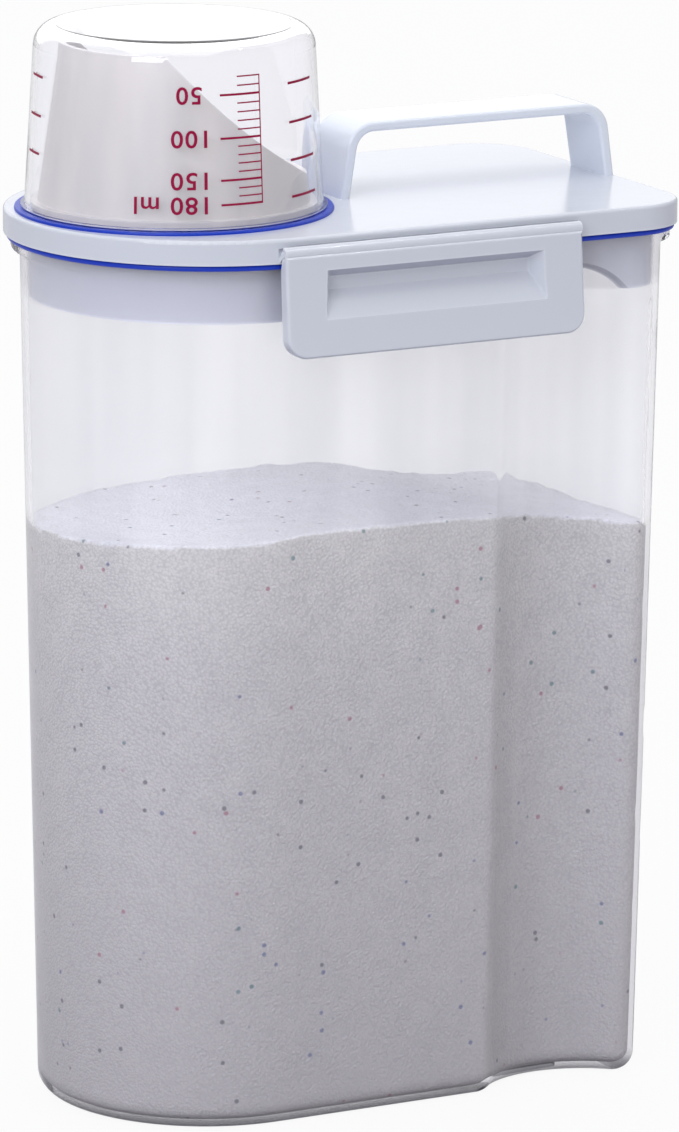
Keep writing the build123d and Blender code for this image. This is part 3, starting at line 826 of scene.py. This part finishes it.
def make_scale_lines(look, wall, ink):
    """The upright line, its level lines, and the short marks on both sides."""
    points, faces = [], []
    line = look.scale_turn
    half = wall.arc(look.fine) / 2
    band(points, faces, wall, line - half, line + half, wall.height(LAST_MARK), wall.height(FIRST_MARK))
    for dose in range(FIRST_MARK, LAST_MARK + 1, MARK_STEP):
        reach, thick = (look.long_tick, look.bold) if dose in NUMBERED else (look.short_tick, look.fine)
        mark(points, faces, wall, dose, line - wall.arc(reach), line + half, thick)
    left = (look.left_turn, look.left_mark, LAST_MARK - SIDE_STEP)
    right = (look.right_turn, look.right_mark, LAST_MARK)
    for middle, across, last in (left, right):
        reach = wall.arc(across) / 2
        for dose in range(SIDE_STEP, last + 1, SIDE_STEP):
            mark(points, faces, wall, dose, middle - reach, middle + reach, look.side)
    mesh = bpy.data.meshes.new("cup_scale_lines")
    mesh.from_pydata(points, [], faces)
    place_print(new_piece("cup_scale_lines", mesh, ink))


def lettering(words, look):
    """A flat mesh of some words, with a digit one unit tall, starting at 0."""
    text = bpy.data.curves.new("lettering", "FONT")
    text.body = words
    text.resolution_u = FONT_CURVE_STEPS
    text.space_character = look.digit_space
    text.offset = look.digit_weight
    holder = bpy.data.objects.new("lettering", text)
    bpy.context.scene.collection.objects.link(holder)
    mesh = settled_mesh(holder)
    bpy.data.objects.remove(holder)
    digit = max(v.co.y for v in mesh.vertices)
    start = min(v.co.x for v in mesh.vertices)
    for vertex in mesh.vertices:
        vertex.co = ((vertex.co.x - start) * look.digit_stretch / digit, vertex.co.y / digit, 0.0)
    return mesh


def make_scale_numbers(look, wall, ink):
    """The numbers beside their lines. They read upright when the cup stands on its base."""
    points, faces = [], []
    widths = {}
    for dose in NUMBERED:
        last = dose == LAST_MARK
        mesh = lettering(f"{dose} ml" if last else str(dose), look)
        widths[dose] = max(v.co.x for v in mesh.vertices) * look.digits
        width = widths[NUMBERED[-2]] if last else widths[dose]
        start = look.number_turn + wall.arc(width) / 2
        middle = wall.height(dose)
        first = len(points)
        for vertex in mesh.vertices:
            turned = start - wall.arc(vertex.co.x * look.digits)
            points.append(wall.point(turned, middle + (0.5 - vertex.co.y) * look.digits))
        faces += [tuple(first + i for i in face.vertices) for face in mesh.polygons]
        bpy.data.meshes.remove(mesh)
    mesh = bpy.data.meshes.new("cup_scale_numbers")
    mesh.from_pydata(points, [], faces)
    place_print(new_piece("cup_scale_numbers", mesh, ink))


def place_print(piece):
    """Printing moves with the cup."""
    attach(piece, "cup")


def make_camera(look):
    """The camera at the photo's viewing angle."""
    data = bpy.data.cameras.new("camera")
    data.lens = look.lens
    data.clip_end = look.sight
    camera = bpy.data.objects.new("camera", data)
    bpy.context.scene.collection.objects.link(camera)
    level = math.cos(look.camera_pitch)
    ahead = Vector((
        math.sin(look.camera_azimuth) * level, math.cos(look.camera_azimuth) * level,
        -math.sin(look.camera_pitch)))
    camera.location = look.camera_place
    camera.rotation_mode = "QUATERNION"
    camera.rotation_quaternion = ahead.to_track_quat("-Z", "Y") @ Quaternion((0, 0, 1), look.camera_roll)
    bpy.context.scene.camera = camera


def shows_background(wiring):
    """1 for rays that show the background: straight from the camera or through clear plastic."""
    path = wiring.add("ShaderNodeLightPath").outputs
    return wiring.calc("MAXIMUM", path["Is Camera Ray"], path["Is Transmission Ray"])


def make_floor(look):
    """A plain pale floor that shows as near white and still takes a shadow."""
    half = look.floor_half
    mesh = bpy.data.meshes.new("floor")
    corners = [(-half, -half, 0), (half, -half, 0), (half, half, 0), (-half, half, 0)]
    mesh.from_pydata(corners, [], [(0, 1, 2, 3)])
    material, wiring = new_material("pale_floor")
    surface = wiring.add("ShaderNodeBsdfPrincipled", {
        "Base Color": look.floor_colour, "Roughness": look.floor_roughness})
    glow = wiring.add("ShaderNodeEmission", {"Strength": 1.0})
    factor = wiring.calc("MULTIPLY", shows_background(wiring), look.floor_glow)
    inputs = {0: factor, 1: surface.outputs[0], 2: glow.outputs[0]}
    close_material(wiring, wiring.add("ShaderNodeMixShader", inputs).outputs[0])
    new_piece("floor", mesh, material)


def make_room(look):
    """Even light from all round, and a white background."""
    world = bpy.data.worlds.new("studio")
    world.use_nodes = True
    world.node_tree.nodes.clear()
    wiring = Wiring(world.node_tree)
    light = wiring.add("ShaderNodeBackground", {"Color": look.room_colour, "Strength": look.room_strength})
    white = wiring.add("ShaderNodeBackground", {"Color": (1.0, 1.0, 1.0, 1.0), "Strength": 1.0})
    inputs = {0: shows_background(wiring), 1: light.outputs[0], 2: white.outputs[0]}
    mixed = wiring.add("ShaderNodeMixShader", inputs)
    wiring.add("ShaderNodeOutputWorld", {"Surface": mixed.outputs[0]})
    bpy.context.scene.world = world


def make_lamp(name, place, target, size, power, tint=(1.0, 1.0, 1.0)):
    """A soft square lamp aimed at a point."""
    data = bpy.data.lights.new(name, "AREA")
    data.size = size
    data.energy = power
    data.color = tint
    lamp = bpy.data.objects.new(name, data)
    bpy.context.scene.collection.objects.link(lamp)
    lamp.location = place
    lamp.rotation_mode = "QUATERNION"
    lamp.rotation_quaternion = (Vector(target) - Vector(place)).to_track_quat("-Z", "Y")


class DISPENSER_OT_stage(bpy.types.Operator):
    """Make the camera, the pale floor and the soft light"""
    bl_idname = "dispenser.stage"
    bl_label = "Stage"

    def execute(self, context):
        look = context.scene.dispenser.stage
        middle = (CAD_BOX[0] + CAD_BOX[1]) / 2
        make_camera(look)
        make_floor(look)
        make_room(look)
        make_lamp("top_lamp", look.top_place, middle, look.top_size, look.top_power)
        make_lamp("back_lamp", look.back_place, middle, look.back_size, look.back_power)
        make_lamp("glint_lamp", look.glint_place, middle, look.glint_size, look.glint_power)
        make_lamp("side_lamp", look.side_place, middle, look.side_size, look.side_power, look.side_colour)
        context.scene.view_settings.view_transform = "Standard"
        return {"FINISHED"}


class DISPENSER_OT_effects(bpy.types.Operator):
    """Make the surface effects that several materials share"""
    bl_idname = "dispenser.effects"
    bl_label = "Shared effects"

    def execute(self, context):
        make_skin_effect()
        make_edge_effect()
        make_dust_effect()
        make_band_effect()
        make_speck_effect()
        return {"FINISHED"}


class DISPENSER_OT_tub(bpy.types.Operator):
    """Finish the clear container"""
    bl_idname = "dispenser.tub"
    bl_label = "Container"

    def execute(self, context):
        dress("container", make_tub_material(context.scene.dispenser.tub))
        return {"FINISHED"}


class DISPENSER_OT_powder(bpy.types.Operator):
    """Make the washing powder"""
    bl_idname = "dispenser.powder"
    bl_label = "Powder"

    def execute(self, context):
        make_powder(context.scene.dispenser.powder)
        return {"FINISHED"}


class DISPENSER_OT_white_mouldings(bpy.types.Operator):
    """Finish the lid, the handle and both latches"""
    bl_idname = "dispenser.white_mouldings"
    bl_label = "White mouldings"

    def execute(self, context):
        look = context.scene.dispenser.white
        material = make_white_material("white_moulding", look.tone, look.under_tone, look)
        for node in ("lid", "front_latch", "rear_latch"):
            dress(node, material)
        # The handle gets the paler colour of painted light, and no painted shade underneath.
        dress("handle", make_white_material("handle_strap", look.handle_tone, look.handle_tone, look))
        return {"FINISHED"}


class DISPENSER_OT_seals(bpy.types.Operator):
    """Finish the seal under the lid and the ring under the cup"""
    bl_idname = "dispenser.seals"
    bl_label = "Seals"

    def execute(self, context):
        look = context.scene.dispenser.seals
        gasket = make_seal_material("gasket_silicone", look.gasket_tone, look)
        dress("lid_gasket", gasket)
        make_seal_lip(look, gasket)
        dress("cup_seal_ring", make_seal_material("ring_silicone", look.ring_tone, look))
        return {"FINISHED"}


class DISPENSER_OT_spout(bpy.types.Operator):
    """Finish the spout"""
    bl_idname = "dispenser.spout"
    bl_label = "Spout"

    def execute(self, context):
        dress("spout", make_spout_material(context.scene.dispenser.spout))
        return {"FINISHED"}


class DISPENSER_OT_cup(bpy.types.Operator):
    """Finish the measuring cup and print its scale"""
    bl_idname = "dispenser.cup"
    bl_label = "Measuring cup"

    def execute(self, context):
        looks = context.scene.dispenser
        dress("measuring_cup", make_cup_material(looks.cup))
        wall = CupWall(looks.cup, looks.stage)
        ink = make_ink_material(looks.cup)
        make_scale_lines(looks.cup, wall, ink)
        make_scale_numbers(looks.cup, wall, ink)
        return {"FINISHED"}


OPERATORS = (
    DISPENSER_OT_stage, DISPENSER_OT_effects, DISPENSER_OT_tub, DISPENSER_OT_powder,
    DISPENSER_OT_white_mouldings, DISPENSER_OT_seals, DISPENSER_OT_spout, DISPENSER_OT_cup,
)


class DISPENSER_PT_panel(bpy.types.Panel):
    """Lists the steps that finish the dispenser"""
    bl_idname = "DISPENSER_PT_panel"
    bl_label = "Powder dispenser"
    bl_space_type = "VIEW_3D"
    bl_region_type = "UI"
    bl_category = "Dispenser"

    def draw(self, context):
        for operator in OPERATORS:
            self.layout.operator(operator.bl_idname)


CLASSES = (
    StageLook, TubLook, PowderLook, WhiteLook, SealLook, SpoutLook, CupLook, DispenserLook,
    *OPERATORS, DISPENSER_PT_panel,
)


def register():
    for entry in CLASSES:
        bpy.utils.register_class(entry)
    bpy.types.Scene.dispenser = PointerProperty(type=DispenserLook)


def unregister():
    del bpy.types.Scene.dispenser
    for entry in reversed(CLASSES):
        bpy.utils.unregister_class(entry)


def main():
    register()
    for operator in OPERATORS:
        group, name = operator.bl_idname.split(".")
        getattr(getattr(bpy.ops, group), name)()


if __name__ == "__main__":
    main()
